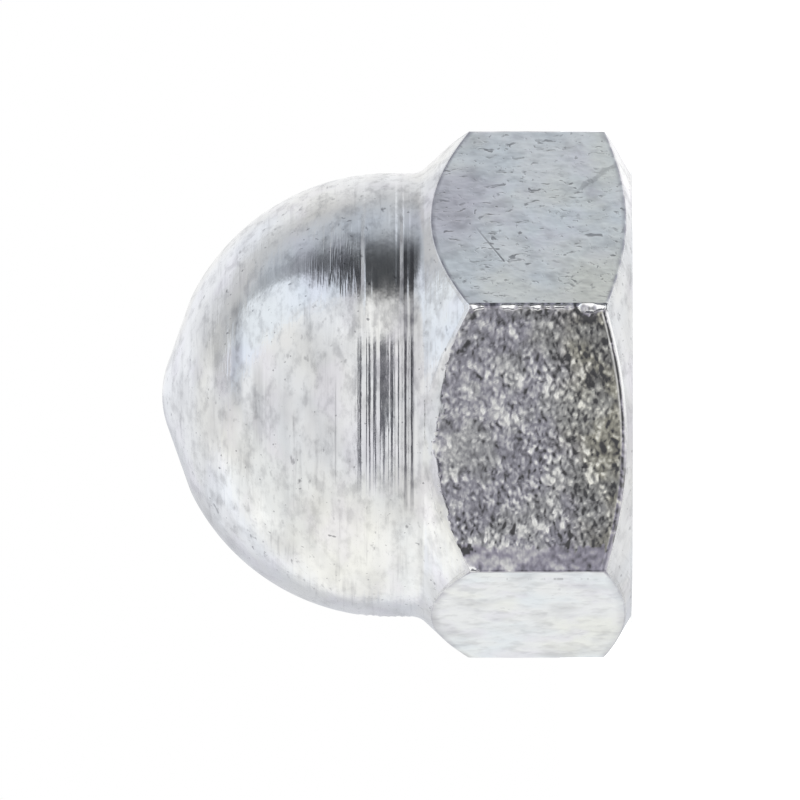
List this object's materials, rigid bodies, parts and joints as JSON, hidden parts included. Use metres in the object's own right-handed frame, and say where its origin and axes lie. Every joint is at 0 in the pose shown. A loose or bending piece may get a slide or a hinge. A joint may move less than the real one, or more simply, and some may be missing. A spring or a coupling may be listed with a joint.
{
  "type": "cap nut",
  "caption": "Domed cap nut turned from hexagon bar, with a blunt conical nose on the dome, turned cones at both ends of its flats and a blind metric threaded hole.",
  "frame": {"origin": "centre of the bearing face, on the thread axis", "axes": "+Z along the thread axis towards the tip of the dome, two corners of the hexagon on the X axis, two flats facing +Y and -Y"},
  "size_m": [0.015, 0.013, 0.0131],
  "materials": {
    "zinc_plated_steel": "bright zinc plate over turned and drawn steel, faint bluish and yellowish tints, one flat coarse grained"
  },
  "bodies": {
    "root": {"cap_nut": "zinc_plated_steel"}
  },
  "joints": []
}
